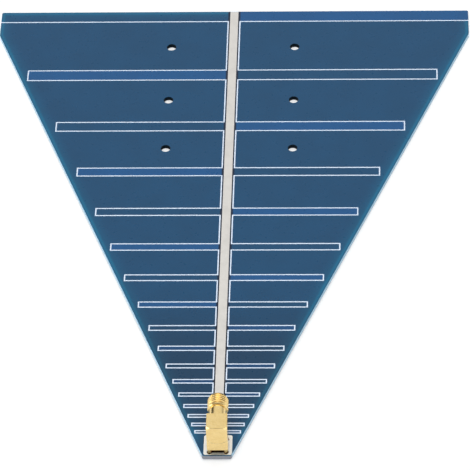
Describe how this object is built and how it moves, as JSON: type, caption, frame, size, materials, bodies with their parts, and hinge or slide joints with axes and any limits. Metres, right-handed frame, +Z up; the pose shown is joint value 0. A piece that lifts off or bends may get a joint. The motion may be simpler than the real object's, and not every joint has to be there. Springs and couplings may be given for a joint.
{
  "type": "printed log-periodic broadband antenna",
  "caption": "Flat triangular printed-board dipole array with a right-angle coaxial socket at its narrow tip and bolt holes near its wide edge.",
  "frame": {"origin": "under the middle of the board, level with the tips of the socket's legs", "axes": "+Y from the narrow tip along the feed line to the wide edge, +X to the right across the board, +Z up"},
  "size_m": [0.1606, 0.2006, 0.0138],
  "materials": {
    "glass_epoxy": "cut edge of glass-epoxy laminate",
    "copper": "bare copper",
    "blue_mask": "semi-gloss solder mask",
    "white_ink": "printed ink",
    "tin": "hot-air levelled tin",
    "gold_plate": "bright gold plating",
    "fluoropolymer": "white, waxy",
    "solder": "bright solder"
  },
  "bodies": {
    "root": {"laminate_core": "glass_epoxy", "copper_top": "copper", "copper_bottom": "copper", "solder_mask_top": "blue_mask", "solder_mask_bottom": "blue_mask", "legend_top": "white_ink", "line_tin_top": "tin", "line_tin_bottom": "tin", "pad_tin_top": "tin", "connector_body": "gold_plate", "barrel_insulator": "fluoropolymer", "tail_insulator": "fluoropolymer", "socket_contact": "gold_plate", "tail_pin": "gold_plate", "leg_solder_joints": "solder", "pin_solder_joint": "solder"}
  },
  "joints": []
}
